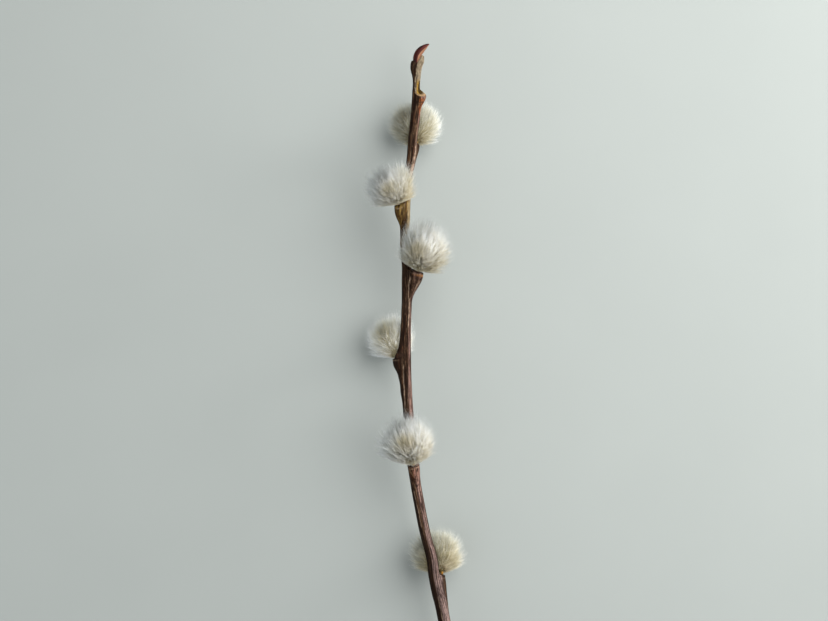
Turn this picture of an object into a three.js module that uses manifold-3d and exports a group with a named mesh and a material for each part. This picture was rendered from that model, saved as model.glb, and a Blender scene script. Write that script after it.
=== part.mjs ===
// Pussy willow branch with six silky catkins, lying down with its photographed side up.
// Millimetres. +Y runs along the branch to its tip, +X is to the right, +Z is up.
import * as THREE from 'three';
import { ConvexHull } from 'three/addons/math/ConvexHull.js';
import { mergeVertices } from 'three/addons/utils/BufferGeometryUtils.js';
import Module from 'manifold-3d';

// Stem: centre line from the cut end to the dead tip, as x, y, z and bark radius.
const stemLine = [
  [16.05, -112.65, 1.84, 1.86],
  [14.62, -104.50, 3.66, 1.85],
  [12.62, -94.60, 5.72, 1.83],
  [10.48, -84.10, 7.72, 1.81],
  [8.08, -72.00, 9.66, 1.80],
  [5.70, -60.00, 11.10, 1.78],
  [4.79, -55.46, 11.50, 1.77],
  [3.52, -50.59, 11.88, 1.71],
  [2.66, -46.04, 12.16, 1.66],
  [2.06, -40.90, 12.40, 1.62],
  [-0.03, -33.37, 12.66, 1.59],
  [-2.13, -23.44, 12.88, 1.59],
  [-3.06, -18.03, 12.98, 1.59],
  [-3.87, -12.61, 13.08, 1.62],
  [-4.59, -5.40, 13.20, 1.56],
  [-5.19, 2.11, 13.30, 1.56],
  [-5.55, 6.61, 13.35, 1.57],
  [-5.76, 11.11, 13.38, 1.56],
  [-5.88, 14.41, 13.40, 1.55],
  [-5.94, 19.20, 13.40, 1.53],
  [-5.94, 25.50, 13.40, 1.50],
  [-5.85, 31.20, 13.40, 1.50],
  [-5.64, 36.60, 13.40, 1.53],
  [-5.67, 42.60, 13.40, 1.50],
  [-5.73, 46.80, 13.40, 1.44],
  [-6.15, 50.99, 13.40, 1.38],
  [-6.30, 56.39, 13.40, 1.35],
  [-6.18, 59.69, 13.46, 1.41],
  [-6.09, 62.98, 13.52, 1.41],
  [-5.97, 66.58, 13.58, 1.41],
  [-5.82, 71.37, 13.58, 1.35],
  [-5.16, 74.98, 13.52, 1.35],
  [-4.59, 77.38, 13.46, 1.38],
  [-4.20, 80.38, 13.42, 1.44],
  [-3.96, 83.68, 13.40, 1.44],
  [-3.63, 86.98, 13.42, 1.38],
  [-3.27, 89.67, 13.46, 1.41],
  [-2.97, 92.67, 13.50, 1.41],
  [-2.85, 94.77, 13.52, 1.41],
  [-2.73, 96.87, 13.54, 1.38],
  [-2.70, 98.97, 13.56, 1.23],
  [-2.70, 101.07, 13.58, 1.14],
  [-2.61, 103.45, 13.60, 1.26],
  [-2.38, 105.55, 13.60, 1.30],
  [-1.98, 107.05, 13.60, 1.26],
  [-1.50, 108.25, 13.60, 1.24],
  [-1.14, 109.15, 13.60, 0.92],
  [-0.98, 109.80, 13.60, 0.62],
];
const stemSides = 16;
const ringStep = 2.9;
const cutSlant = 0.62;
const barkRidges = [
  { count: 5, depth: 0.030, twist: 0.020, start: 0.4 },
  { count: 3, depth: 0.022, twist: -0.013, start: 2.1 },
];

// Leaf cushions: each swells from below and ends in a ledge at y, which falls back over drop.
// turn is its side of the stem in degrees, 0 to the right and 90 up.
// lip tips the ledge outwards.
const cushions = {
  tip: { y: 107.95, turn: 182, height: 1.30, rise: 5.6, spread: 62, lip: 0.10, drop: 0.34 },
  scar: { y: 97.50, turn: 24, height: 1.70, rise: 4.3, spread: 92, lip: 0.05, drop: 1.30 },
  one: { y: 83.60, turn: -58, height: 1.50, rise: 7.0, spread: 84, lip: 0.35, drop: 0.34 },
  two: { y: 65.80, turn: 150, height: 2.20, rise: 8.4, spread: 82, lip: 0.52, drop: 0.34 },
  three: { y: 45.70, turn: 20, height: 3.75, rise: 10.2, spread: 80, lip: 0.30, drop: 0.34 },
  four: { y: 19.60, turn: 196, height: 2.60, rise: 10.0, spread: 74, lip: 0.30, drop: 0.34 },
  five: { y: -12.60, turn: 84, height: 1.75, rise: 8.0, spread: 92, lip: 0.25, drop: 0.34 },
  six: { y: -46.20, turn: -20, height: 1.70, rise: 12.5, spread: 80, lip: 0.30, drop: 0.34 },
};

// The empty bud scar is a hollow above its ledge, and the ledge sags below it.
const hollow = { y: 99.9, turn: 40, depth: 0.50, length: 2.4, spread: 75 };
const sag = { y: 97.5, turn: 55, amount: 1.50, length: 4.2, spread: 100 };

// Claw-shaped bud at the tip: centre line with width and depth radii.
const budLine = [
  [-2.86, 107.60, 13.70, 0.80, 0.85],
  [-2.86, 108.60, 13.76, 0.96, 1.05],
  [-2.66, 109.50, 13.82, 1.08, 1.15],
  [-2.16, 110.60, 13.86, 1.14, 1.10],
  [-1.42, 111.60, 13.86, 0.98, 0.92],
  [-0.48, 112.45, 13.84, 0.68, 0.62],
  [0.30, 113.00, 13.80, 0.38, 0.34],
  [0.86, 113.28, 13.78, 0.12, 0.12],
];
const budSides = 12;

// Catkins: centre of the ball of hair, and its radius across, to the top and to the back.
const catkins = {
  catkin_1: { ledge: 'one', centre: [-2.88, 90.60, 6.10], across: 7.75, top: 5.75, back: 6.40 },
  catkin_2: { ledge: 'two', centre: [-10.71, 70.38, 20.20], across: 7.00, top: 6.50, back: 6.70 },
  catkin_3: { ledge: 'three', centre: [-0.10, 52.31, 19.90], across: 7.70, top: 7.50, back: 7.50 },
  catkin_4: { ledge: 'four', centre: [-10.22, 25.41, 6.20], across: 8.22, top: 6.25, back: 6.80 },
  catkin_5: { ledge: 'five', centre: [-5.54, -4.65, 20.10], across: 8.15, top: 7.00, back: 7.20 },
  catkin_6: { ledge: 'six', centre: [3.06, -39.80, 6.20], across: 8.22, top: 6.90, back: 6.90 },
};
const lockCount = 72;
const lockLean = 0.20;
const lockEdge = 0.24;
const lockValley = 0.52;

// Clear space between neighbouring solids.
const gap = 0.30;

const wasm = await Module();
wasm.setup();
const rad = Math.PI / 180;

function toManifold(geometry) {
  geometry.deleteAttribute('normal');
  geometry.deleteAttribute('uv');
  const welded = mergeVertices(geometry, 1e-4);
  return new wasm.Manifold(new wasm.Mesh({
    numProp: 3,
    vertProperties: new Float32Array(welded.attributes.position.array),
    triVerts: new Uint32Array(welded.index.array),
  }));
}

function toGeometry(solid) {
  const mesh = solid.getMesh();
  const geometry = new THREE.BufferGeometry();
  geometry.setAttribute('position', new THREE.BufferAttribute(new Float32Array(mesh.vertProperties), 3));
  geometry.setIndex(new THREE.BufferAttribute(new Uint32Array(mesh.triVerts), 1));
  const flat = geometry.toNonIndexed();
  flat.computeVertexNormals();
  return flat;
}

// A closed skin over rings of points, from the first ring to the last.
function skin(rings) {
  const sides = rings[0].length;
  const points = rings.flat();
  const faces = [];
  for (let i = 0; i < rings.length - 1; i += 1) {
    for (let j = 0; j < sides; j += 1) {
      const a = i * sides + j;
      const b = i * sides + ((j + 1) % sides);
      faces.push(a, b + sides, b, a, a + sides, b + sides);
    }
  }
  const first = points.length;
  const last = first + 1;
  const middle = (ring) => ring.reduce((sum, p) => sum.add(p), new THREE.Vector3()).divideScalar(sides);
  points.push(middle(rings[0]), middle(rings[rings.length - 1]));
  const top = (rings.length - 1) * sides;
  for (let j = 0; j < sides; j += 1) {
    const k = (j + 1) % sides;
    faces.push(first, j, k, last, top + k, top + j);
  }
  const geometry = new THREE.BufferGeometry().setFromPoints(points);
  geometry.setIndex(faces);
  return geometry;
}

// Smooth line through the stem's stations, with place, direction and radius at each y.
const stemCurve = new THREE.CatmullRomCurve3(
  stemLine.map(([x, y, z]) => new THREE.Vector3(x, y, z)), false, 'centripetal');

function stemAt(y) {
  let low = 0;
  let high = 1;
  for (let i = 0; i < 26; i += 1) {
    const mid = (low + high) / 2;
    if (stemCurve.getPoint(mid).y < y) low = mid;
    else high = mid;
  }
  const t = (low + high) / 2;
  const along = t * (stemLine.length - 1);
  const i = Math.min(Math.floor(along), stemLine.length - 2);
  const radius = THREE.MathUtils.lerp(stemLine[i][3], stemLine[i + 1][3], along - i);
  const forward = stemCurve.getTangent(t);
  const right = new THREE.Vector3(1, 0, 0).addScaledVector(forward, -forward.x).normalize();
  const up = right.clone().cross(forward);
  return { centre: stemCurve.getPoint(t), forward, right, up, radius };
}

function turnGap(turn, other) {
  const d = Math.abs(turn - other) % 360;
  return Math.min(d, 360 - d);
}

function bell(distance, reach) {
  if (distance >= reach) return 0;
  return Math.cos((Math.PI / 2) * (distance / reach)) ** 2;
}

// How far a cushion stands out of the round stem at y and turn.
function cushionOut(cushion, y, turn) {
  const below = cushion.y - y;
  const side = bell(turnGap(turn, cushion.turn), cushion.spread);
  if (below >= 0) return cushion.height * side * bell(below, cushion.rise);
  return cushion.height * side * Math.max(0, 1 + below / cushion.drop);
}

function stemPoint(at, y, turn, extra) {
  let out = at.radius;
  let drop = 0;
  for (const ridge of barkRidges) {
    out += ridge.depth * Math.sin(ridge.count * (turn * rad + ridge.twist * y) + ridge.start);
  }
  for (const cushion of Object.values(cushions)) {
    const add = cushionOut(cushion, y, turn);
    out += add;
    drop += add * cushion.lip;
  }
  const dent = bell(Math.abs(y - hollow.y), hollow.length) * bell(turnGap(turn, hollow.turn), hollow.spread);
  out -= hollow.depth * dent;
  drop -= sag.amount * bell(Math.abs(y - sag.y), sag.length) * (1 - bell(turnGap(turn, sag.turn), sag.spread));
  const dir = at.right.clone().multiplyScalar(Math.cos(turn * rad));
  dir.addScaledVector(at.up, Math.sin(turn * rad));
  return at.centre.clone().addScaledVector(dir, out + extra).addScaledVector(at.forward, -drop);
}

function stemStations() {
  const bottom = stemLine[0][1];
  const tip = stemLine[stemLine.length - 1][1];
  const fixed = [bottom, tip];
  for (const { y, drop } of Object.values(cushions)) fixed.push(y - 1.3, y, y + drop);
  fixed.push(98.1, 99.6, 100.6, 102.0, 109.2);
  fixed.sort((a, b) => a - b);
  const stations = [fixed[0]];
  for (let i = 1; i < fixed.length; i += 1) {
    const span = fixed[i] - fixed[i - 1];
    if (span < 0.05) continue;
    const parts = Math.max(1, Math.round(span / ringStep));
    for (let k = 1; k <= parts; k += 1) stations.push(fixed[i - 1] + (span * k) / parts);
  }
  return stations;
}

// The cut end slopes, so its first ring slides along the stem from side to side.
function stemSolid(extra) {
  const rings = stemStations().map((y, i) => {
    const at = stemAt(y);
    const ring = [];
    for (let j = 0; j < stemSides; j += 1) {
      const turn = (360 * j) / stemSides;
      const point = stemPoint(at, y, turn, extra);
      if (i === 0) point.addScaledVector(at.forward, cutSlant * at.radius * Math.cos((turn - 70) * rad));
      ring.push(point);
    }
    return ring;
  });
  if (extra > 0) {
    const start = stemAt(stemLine[0][1]).forward.clone().multiplyScalar(-extra);
    const end = stemAt(stemLine[stemLine.length - 1][1]).forward.clone().multiplyScalar(extra);
    rings[0].forEach((p) => p.add(start));
    rings[rings.length - 1].forEach((p) => p.add(end));
  }
  return toManifold(skin(rings));
}

function budSolid() {
  const line = budLine.map(([x, y, z]) => new THREE.Vector3(x, y, z));
  const rings = line.map((centre, i) => {
    const before = line[Math.max(0, i - 1)];
    const after = line[Math.min(line.length - 1, i + 1)];
    const forward = after.clone().sub(before).normalize();
    const up = new THREE.Vector3(0, 0, 1).addScaledVector(forward, -forward.z).normalize();
    const right = forward.clone().cross(up);
    const ring = [];
    for (let j = 0; j < budSides; j += 1) {
      const turn = (2 * Math.PI * j) / budSides;
      ring.push(centre.clone()
        .addScaledVector(right, budLine[i][3] * Math.cos(turn))
        .addScaledVector(up, budLine[i][4] * Math.sin(turn)));
    }
    return ring;
  });
  return toManifold(skin(rings));
}

// Where a catkin's short stalk leaves the ledge of its cushion.
function catkinBase(cushion) {
  const at = stemAt(cushion.y);
  const out = at.radius + cushion.height * 0.5;
  return at.centre.clone()
    .addScaledVector(at.right, out * Math.cos(cushion.turn * rad))
    .addScaledVector(at.up, out * Math.sin(cushion.turn * rad))
    .addScaledVector(at.forward, 0.2 - cushion.height * 0.5 * cushion.lip);
}

// Distance from the centre to the skin of the ball, at an angle from its axis.
// Behind the point where a line from the base touches the ball, it draws in along that line.
function catkinReach(catkin, baseDistance, angle) {
  const side = Math.sin(angle);
  const ahead = Math.cos(angle);
  const touchAhead = -(catkin.back ** 2) / baseDistance;
  const touchSide = catkin.across * Math.sqrt(1 - (touchAhead / catkin.back) ** 2);
  if (angle < Math.atan2(touchSide, touchAhead)) {
    const along = ahead > 0 ? catkin.top : catkin.back;
    return 1 / Math.hypot(side / catkin.across, ahead / along);
  }
  return baseDistance / ((side * (touchAhead + baseDistance)) / touchSide - ahead);
}

// Silky locks in a spiral: each has a raised tip, with low edges and lower valleys between.
function catkinSolid(catkin) {
  const centre = new THREE.Vector3(...catkin.centre);
  const base = catkinBase(cushions[catkin.ledge]);
  const axis = centre.clone().sub(base);
  const baseDistance = axis.length();
  axis.normalize();
  const turnToAxis = new THREE.Quaternion().setFromUnitVectors(new THREE.Vector3(0, 0, 1), axis);
  const directions = [];
  for (let i = 0; i < lockCount; i += 1) {
    const height = 1 - (2 * i) / (lockCount - 1);
    const ring = Math.sqrt(Math.max(0, 1 - height * height));
    const turn = i * Math.PI * (3 - Math.sqrt(5));
    directions.push(new THREE.Vector3(ring * Math.cos(turn), ring * Math.sin(turn), height));
  }
  const place = (direction, lower, lean) => {
    const leaned = direction.clone().normalize();
    if (leaned.z > -0.9) leaned.z += lean * (1 - leaned.z * leaned.z);
    leaned.normalize();
    const angle = Math.acos(THREE.MathUtils.clamp(leaned.z, -1, 1));
    const reach = catkinReach(catkin, baseDistance, angle) - lower * Math.min(1, (Math.PI - angle) / 0.8);
    return leaned.multiplyScalar(reach).applyQuaternion(turnToAxis).add(centre);
  };
  const hull = new ConvexHull().setFromPoints(directions);
  const triangles = [];
  for (const face of hull.faces) {
    const corners = [];
    let edge = face.edge;
    do {
      corners.push(edge.head().point.clone());
      edge = edge.next;
    } while (edge !== face.edge);
    for (let i = 1; i < corners.length - 1; i += 1) {
      triangles.push([corners[0], corners[i], corners[i + 1]]);
    }
  }
  const points = [];
  for (const corners of triangles) {
    const middle = corners[0].clone().add(corners[1]).add(corners[2]);
    const valley = place(middle, lockValley, 0);
    for (let i = 0; i < 3; i += 1) {
      const a = corners[i];
      const b = corners[(i + 1) % 3];
      const tipA = place(a, 0, lockLean);
      const tipB = place(b, 0, lockLean);
      const between = place(a.clone().add(b), lockEdge, 0);
      points.push(tipA, between, valley, between, tipB, valley);
    }
  }
  return toManifold(new THREE.BufferGeometry().setFromPoints(points));
}

// Everything below the table top is pressed flat against it.
function tableBlock() {
  const block = new THREE.BoxGeometry(400, 600, 100);
  block.translate(0, 0, -50);
  return toManifold(block);
}

function finish(hex, roughness) {
  return new THREE.MeshStandardMaterial({ color: hex, roughness, metalness: 0 });
}

const group = new THREE.Group();
group.name = 'pussy_willow_branch';

function addPiece(name, solid, material) {
  const mesh = new THREE.Mesh(toGeometry(solid), material);
  mesh.name = name;
  group.add(mesh);
}

const table = tableBlock();
const clearStem = stemSolid(gap);
addPiece('stem', stemSolid(0).subtract(table), finish(0x5a3f36, 0.55));
addPiece('tip_bud', budSolid().subtract(clearStem), finish(0x5e2a24, 0.35));
for (const [name, catkin] of Object.entries(catkins)) {
  addPiece(name, catkinSolid(catkin).subtract(clearStem).subtract(table), finish(0xc9c8bb, 0.9));
}

export default group;
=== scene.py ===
import math

import bpy
import numpy as np
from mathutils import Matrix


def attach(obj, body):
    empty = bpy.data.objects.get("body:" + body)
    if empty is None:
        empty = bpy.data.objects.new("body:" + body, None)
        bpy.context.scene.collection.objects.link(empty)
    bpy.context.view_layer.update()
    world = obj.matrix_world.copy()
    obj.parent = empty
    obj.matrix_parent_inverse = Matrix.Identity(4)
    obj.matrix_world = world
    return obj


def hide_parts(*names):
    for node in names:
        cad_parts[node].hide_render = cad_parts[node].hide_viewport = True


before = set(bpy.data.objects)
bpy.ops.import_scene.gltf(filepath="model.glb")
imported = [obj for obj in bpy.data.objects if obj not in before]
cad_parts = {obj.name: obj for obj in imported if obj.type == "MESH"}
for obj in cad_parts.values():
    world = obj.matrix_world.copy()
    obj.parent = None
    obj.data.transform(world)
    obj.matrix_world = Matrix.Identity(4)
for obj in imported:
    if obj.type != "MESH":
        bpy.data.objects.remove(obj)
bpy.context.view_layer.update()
scene = bpy.context.scene

mm = 0.001    # the numbers below are in millimetres, and meshes are made in metres
goldenTurn = math.pi * (3 - math.sqrt(5))
print("frame loaded:", len(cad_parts), "CAD nodes")

# The stem's line, its cushions and the catkins are as in the CAD part. The finer forms are the scene's own.

# Middle of the stem from the cut end to the dead tip: x, y, z, radius.
stemLine = np.array([
    [16.05, -112.65, 1.84, 1.86], [14.62, -104.50, 3.66, 1.85], [12.62, -94.60, 5.72, 1.83],
    [10.48, -84.10, 7.72, 1.81], [8.08, -72.00, 9.66, 1.80], [5.70, -60.00, 11.10, 1.78],
    [4.79, -55.46, 11.50, 1.77], [3.52, -50.59, 11.88, 1.71], [2.66, -46.04, 12.16, 1.66],
    [2.06, -40.90, 12.40, 1.62], [-0.03, -33.37, 12.66, 1.59], [-2.13, -23.44, 12.88, 1.59],
    [-3.06, -18.03, 12.98, 1.59], [-3.87, -12.61, 13.08, 1.62], [-4.59, -5.40, 13.20, 1.56],
    [-5.19, 2.11, 13.30, 1.56], [-5.55, 6.61, 13.35, 1.57], [-5.76, 11.11, 13.38, 1.56],
    [-5.88, 14.41, 13.40, 1.55], [-5.94, 19.20, 13.40, 1.53], [-5.94, 25.50, 13.40, 1.50],
    [-5.85, 31.20, 13.40, 1.50], [-5.64, 36.60, 13.40, 1.53], [-5.67, 42.60, 13.40, 1.50],
    [-5.73, 46.80, 13.40, 1.44], [-6.15, 50.99, 13.40, 1.38], [-6.30, 56.39, 13.40, 1.35],
    [-6.18, 59.69, 13.46, 1.41], [-6.09, 62.98, 13.52, 1.41], [-5.97, 66.58, 13.58, 1.41],
    [-5.82, 71.37, 13.58, 1.35], [-5.16, 74.98, 13.52, 1.35], [-4.59, 77.38, 13.46, 1.38],
    [-4.20, 80.38, 13.42, 1.44], [-3.96, 83.68, 13.40, 1.44], [-3.63, 86.98, 13.42, 1.38],
    [-3.27, 89.67, 13.46, 1.41], [-2.97, 92.67, 13.50, 1.41], [-2.85, 94.77, 13.52, 1.41],
    [-2.73, 96.87, 13.54, 1.38], [-2.70, 98.97, 13.56, 1.23], [-2.70, 101.07, 13.58, 1.14],
    [-2.61, 103.45, 13.60, 1.26], [-2.38, 105.55, 13.60, 1.30], [-1.98, 107.05, 13.60, 1.26],
    [-1.50, 108.25, 13.60, 1.24], [-1.14, 109.15, 13.60, 0.92], [-0.98, 109.80, 13.60, 0.62]])

# Leaf cushions. turn is the side of the stem in degrees, 0 to the right and 90 up.
cushions = {
    "tip": {"y": 107.95, "turn": 182, "height": 1.30, "rise": 5.6, "spread": 62, "lip": 0.10, "drop": 0.34},
    "scar": {"y": 97.50, "turn": 24, "height": 1.70, "rise": 4.3, "spread": 92, "lip": 0.05, "drop": 1.30},
    "one": {"y": 83.60, "turn": -58, "height": 1.50, "rise": 7.0, "spread": 84, "lip": 0.35, "drop": 0.34},
    "two": {"y": 65.80, "turn": 150, "height": 2.20, "rise": 8.4, "spread": 82, "lip": 0.52, "drop": 0.34},
    "three": {"y": 45.70, "turn": 20, "height": 3.75, "rise": 10.2, "spread": 80, "lip": 0.30, "drop": 0.34},
    "four": {"y": 19.60, "turn": 196, "height": 2.60, "rise": 10.0, "spread": 74, "lip": 0.30, "drop": 0.34},
    "five": {"y": -12.60, "turn": 84, "height": 1.75, "rise": 8.0, "spread": 92, "lip": 0.25, "drop": 0.34},
    "six": {"y": -46.20, "turn": -20, "height": 1.70, "rise": 12.5, "spread": 80, "lip": 0.30, "drop": 0.34},
}
hollow = {"y": 99.9, "turn": 40, "depth": 0.50, "length": 2.4, "spread": 75}
sag = {"y": 97.5, "turn": 55, "amount": 1.50, "length": 4.2, "spread": 100}
barkRidges = [(5, 0.030, 0.020, 0.4), (3, 0.022, -0.013, 2.1)]   # count, depth, twist, start
# bark that climbs beside the foot of catkin_4
flank = {"cushion": "four", "y": 19.9, "turn": 166, "height": 1.9, "fall": 3.2, "spread": 52}
# faint swellings of the stem's sides: y, length, turn, spread, height
swells = [(61.5, 4.0, 180, 90, 0.28), (15.3, 2.6, 180, 80, -0.30), (9.8, 4.5, 180, 90, 0.42),
          (-44.0, 22.0, 180, 95, 0.24), (-40.0, 15.0, 0, 90, -0.24), (-62.0, 14.0, 180, 95, 0.12)]
cutSlant = 0.62

# Middle of the claw-shaped bud: x, y, z, half width, half depth.
budLine = np.array([
    [-2.86, 107.60, 13.70, 0.80, 0.85], [-2.86, 108.60, 13.76, 0.96, 1.05],
    [-2.66, 109.50, 13.82, 1.08, 1.15], [-2.10, 110.60, 13.86, 1.18, 1.10],
    [-1.28, 111.60, 13.86, 1.08, 0.95], [-0.28, 112.45, 13.84, 0.78, 0.66],
    [0.46, 112.98, 13.80, 0.45, 0.38], [1.00, 113.26, 13.78, 0.16, 0.14]])

# Catkins: centre of the ball of hair and its radius across, to the top and to the back.
catkins = {
    "catkin_1": {"ledge": "one", "centre": (-2.88, 90.60, 6.10), "across": 7.75, "top": 5.75, "back": 6.40},
    "catkin_2": {"ledge": "two", "centre": (-10.71, 70.38, 20.20), "across": 7.00, "top": 6.50, "back": 6.70},
    "catkin_3": {"ledge": "three", "centre": (-0.10, 52.31, 19.90), "across": 7.70, "top": 7.50, "back": 7.50},
    "catkin_4": {"ledge": "four", "centre": (-10.22, 25.41, 6.20), "across": 8.22, "top": 6.25, "back": 6.80},
    "catkin_5": {"ledge": "five", "centre": (-5.54, -4.65, 20.10), "across": 8.15, "top": 7.00, "back": 7.20},
    "catkin_6": {"ledge": "six", "centre": (3.06, -39.80, 6.20), "across": 8.22, "top": 6.90, "back": 6.90},
}


def nodeOf(tree, kind, inputs=None, **values):
    # a new node with its settings, and with its inputs set or linked
    node = tree.nodes.new(kind)
    for key, value in values.items():
        setattr(node, key, value)
    for key, value in (inputs or {}).items():
        if isinstance(value, bpy.types.NodeSocket):
            tree.links.new(value, node.inputs[key])
        else:
            node.inputs[key].default_value = value
    return node


def newMaterial(name):
    material = bpy.data.materials.new(name)
    material.use_nodes = True
    tree = material.node_tree
    tree.nodes.clear()
    return material, tree, tree.nodes.new("ShaderNodeOutputMaterial")


def rgba(color):
    return (*color, 1.0)


def mathOf(tree, operation, a, b):
    return nodeOf(tree, "ShaderNodeMath", {0: a, 1: b}, operation=operation).outputs[0]


def ranged(tree, value, fromMin, fromMax, toMin=0.0, toMax=1.0, kind="LINEAR"):
    # a value with its range stretched to another one
    inputs = {"Value": value, "From Min": fromMin, "From Max": fromMax, "To Min": toMin, "To Max": toMax}
    return nodeOf(tree, "ShaderNodeMapRange", inputs, interpolation_type=kind).outputs[0]


def mixColor(tree, amount, a, b, blend="MIX"):
    a, b = (rgba(color) if isinstance(color, tuple) else color for color in (a, b))
    return nodeOf(tree, "ShaderNodeMix", {0: amount, 6: a, 7: b}, data_type="RGBA", blend_type=blend).outputs[2]


def attributeOf(tree, name, output="Fac"):
    return nodeOf(tree, "ShaderNodeAttribute", attribute_name=name, attribute_type="GEOMETRY").outputs[output]


viewSettings = {
    "aim": (-3.51, 33.45, 13.2),   # point in the middle of the picture
    "distance": 586,               # camera above that point
    "pictureWidth": 248.4,         # what the picture takes in at that point
}
lightSettings = {
    "window": {"place": (285, 195, 265), "size": 650, "power": 5.1, "color": (1.0, 0.995, 0.985)},
    "side": {"place": (640, 300, 90), "size": 210, "power": 2.4, "color": (1.0, 0.985, 0.955)},
    "fill": {"place": (-300, -100, 260), "size": 500, "power": 0.60, "color": (0.96, 0.985, 1.0)},
    "aim": (0, 30, 10), "roomStrength": 0.425, "roomColor": (0.95, 0.985, 1.0),
}
floorSettings = {
    "size": 4000, "color": (0.337, 0.360, 0.345), "roughness": 0.85,
    "clouds": 26, "shade": (0.975, 1.025),     # scale of its faint clouds, and how dark and light they are
}


def setCamera():
    data = bpy.data.cameras.new("photo_camera")
    data.sensor_width = 36
    data.lens = 36 * viewSettings["distance"] / viewSettings["pictureWidth"]
    data.clip_start = 0.01
    data.clip_end = 20
    camera = bpy.data.objects.new("photo_camera", data)
    x, y, z = viewSettings["aim"]
    camera.location = (x * mm, y * mm, (z + viewSettings["distance"]) * mm)
    scene.collection.objects.link(camera)
    scene.camera = camera


def setLight():
    world = bpy.data.worlds.new("soft_room")
    world.use_nodes = True
    background = world.node_tree.nodes["Background"]
    background.inputs["Color"].default_value = rgba(lightSettings["roomColor"])
    background.inputs["Strength"].default_value = lightSettings["roomStrength"]
    scene.world = world
    for name in ("window", "side", "fill"):
        settings = lightSettings[name]
        data = bpy.data.lights.new(name + "_light", "AREA")
        data.shape = "SQUARE"
        data.size = settings["size"] * mm
        data.energy = settings["power"]
        data.color = settings["color"]
        light = bpy.data.objects.new(name + "_light", data)
        place = np.array(settings["place"]) * mm
        light.location = place
        light.rotation_euler = turnsAlong(np.array(lightSettings["aim"]) * mm - place)
        scene.collection.objects.link(light)
    scene.view_settings.view_transform = "Standard"


def turnsAlong(direction):
    # turns that point an object's -Z along a direction
    x, y, z = direction / np.linalg.norm(direction)
    return (math.acos(-z), 0, math.atan2(-x, y))


def makeFloor():
    half = floorSettings["size"] / 2 * mm
    corners = [(-half, -half, 0), (half, -half, 0), (half, half, 0), (-half, half, 0)]
    mesh = bpy.data.meshes.new("floor")
    mesh.from_pydata(corners, [], [(0, 1, 2, 3)])
    floor = bpy.data.objects.new("floor", mesh)
    scene.collection.objects.link(floor)
    material, tree, output = newMaterial("pale_floor")
    place = nodeOf(tree, "ShaderNodeTexCoord").outputs["Object"]
    clouds = nodeOf(tree, "ShaderNodeTexNoise", {"Vector": place, "Scale": floorSettings["clouds"],
                    "Detail": 3, "Roughness": 0.5}).outputs["Fac"]
    shade = ranged(tree, clouds, 0, 1, *floorSettings["shade"])
    color = mixColor(tree, 1.0, floorSettings["color"], shade, "MULTIPLY")
    shader = nodeOf(tree, "ShaderNodeBsdfPrincipled", {"Base Color": color,
                    "Roughness": floorSettings["roughness"], "Specular IOR Level": 0.15})
    tree.links.new(shader.outputs[0], output.inputs[0])
    mesh.materials.append(material)


setCamera()
setLight()
makeFloor()
print("camera, light and floor set")


def unit(v):
    return v / np.maximum(np.linalg.norm(v, axis=-1, keepdims=True), 1e-9)


def smoothLine(points, steps):
    # centripetal Catmull-Rom line through the points: place, and number along the list
    ends = np.vstack([2 * points[0] - points[1], points, 2 * points[-1] - points[-2]])
    places, numbers = [], []
    for i in range(len(points) - 1):
        p0, p1, p2, p3 = ends[i:i + 4]
        d0, d1, d2 = (np.linalg.norm(b - a) ** 0.5 for a, b in ((p0, p1), (p1, p2), (p2, p3)))
        start = ((p1 - p0) / d0 - (p2 - p0) / (d0 + d1) + (p2 - p1) / d1) * d1
        end = ((p2 - p1) / d1 - (p3 - p1) / (d1 + d2) + (p3 - p2) / d2) * d1
        t = np.arange(steps)[:, None] / steps
        places.append(p1 + start * t + (3 * (p2 - p1) - 2 * start - end) * t**2
                      + (2 * (p1 - p2) + start + end) * t**3)
        numbers.append(i + t[:, 0])
    return np.vstack(places + [points[-1:]]), np.append(np.concatenate(numbers), len(points) - 1)


linePlaces, lineNumbers = smoothLine(stemLine[:, :3], 24)
lineRadii = np.interp(lineNumbers, np.arange(len(stemLine)), stemLine[:, 3])
lineForward = unit(np.gradient(linePlaces, axis=0))


def along(table, y):
    # what a table says of the stem at y
    if table.ndim == 1:
        return np.interp(y, linePlaces[:, 1], table)
    return np.stack([np.interp(y, linePlaces[:, 1], table[:, k]) for k in range(3)], axis=-1)


def stemAt(y):
    # the stem's middle, its directions forward, right and up, and its radius
    forward = unit(along(lineForward, y))
    right = unit(np.array([1.0, 0, 0]) - forward * forward[..., :1])
    return along(linePlaces, y), forward, right, np.cross(right, forward), along(lineRadii, y)


def turnGap(turn, other):
    return np.abs((turn - other + 180) % 360 - 180)


def bell(gap, reach):
    # 1 where the gap is 0, falling to 0 at its reach
    return np.where(gap < reach, np.cos(np.pi / 2 * np.minimum(gap / reach, 1))**2, 0)


def fade(value, start, end):
    t = np.clip((value - start) / (end - start), 0, 1)
    return t * t * (3 - 2 * t)


def between(y, begins, full, fullTo, ends):
    return fade(y, begins, full) * fade(-y, -ends, -fullTo)


def cushionOut(cushion, y, turn):
    below = cushion["y"] - y
    side = bell(turnGap(turn, cushion["turn"]), cushion["spread"])
    rise = bell(np.abs(below), cushion["rise"])
    return cushion["height"] * side * np.where(below >= 0, rise, np.clip(1 + below / cushion["drop"], 0, 1))


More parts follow.
